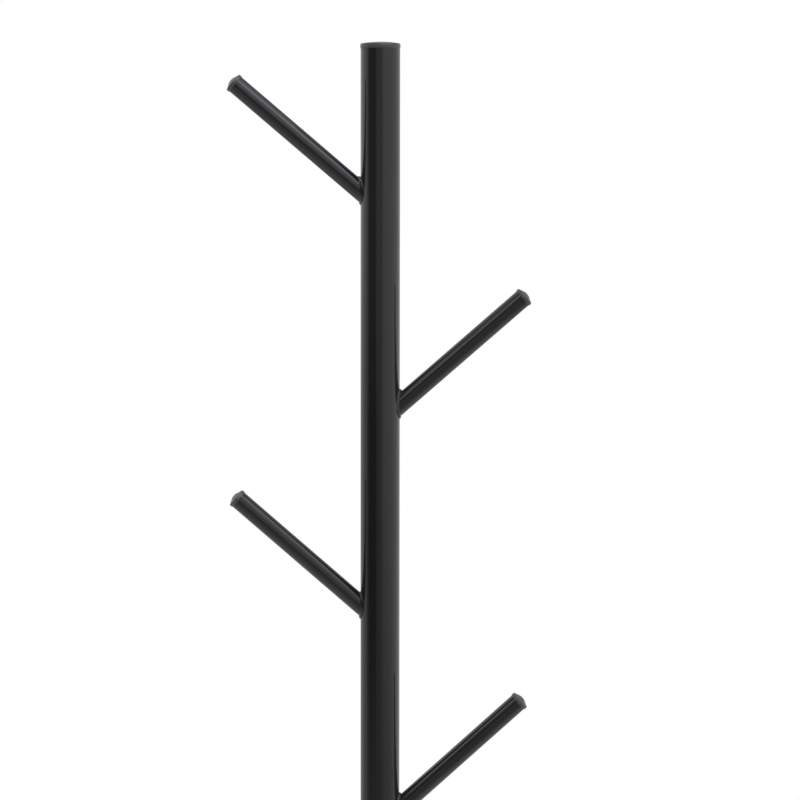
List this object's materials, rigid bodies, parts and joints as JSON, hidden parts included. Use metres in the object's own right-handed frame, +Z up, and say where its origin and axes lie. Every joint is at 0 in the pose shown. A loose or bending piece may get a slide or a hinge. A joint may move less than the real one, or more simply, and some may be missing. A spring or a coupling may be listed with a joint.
{
  "type": "coat tree",
  "caption": "Free-standing coat tree: upright steel tube on a round floor plate, with straight tube branches welded on left and right in turn, all ends plugged.",
  "frame": {"origin": "on the floor, at the centre of the round plate, under the pole's axis", "axes": "+Z up along the pole; +X to the right in the plane of the branches, so the topmost branch points to -X; the front faces -Y"},
  "size_m": [0.3599, 0.36, 1.75],
  "materials": {
    "black_paint": "gloss black baked paint on steel tube and plate",
    "plug_plastic": "moulded satin charcoal polyethylene",
    "zinc_steel": "bright zinc-plated steel",
    "pad_rubber": "matt foamed rubber"
  },
  "bodies": {
    "root": {"upper_pole": "black_paint", "lower_pole": "black_paint", "pole_top_plug": "plug_plastic", "upper_joint_insert": "zinc_steel", "lower_joint_insert": "zinc_steel", "joint_stud": "zinc_steel", "top_left_branch": "black_paint", "top_left_weld": "black_paint", "top_left_end_plug": "plug_plastic", "upper_right_branch": "black_paint", "upper_right_weld": "black_paint", "upper_right_end_plug": "plug_plastic", "lower_left_branch": "black_paint", "lower_left_weld": "black_paint", "lower_left_end_plug": "plug_plastic", "bottom_right_branch": "black_paint", "bottom_right_weld": "black_paint", "bottom_right_end_plug": "plug_plastic", "base_plate": "black_paint", "base_insert": "zinc_steel", "base_bolt": "zinc_steel", "foot_pad_1": "pad_rubber", "foot_pad_2": "pad_rubber", "foot_pad_3": "pad_rubber", "foot_pad_4": "pad_rubber", "foot_pad_5": "pad_rubber", "foot_pad_6": "pad_rubber"}
  },
  "joints": []
}
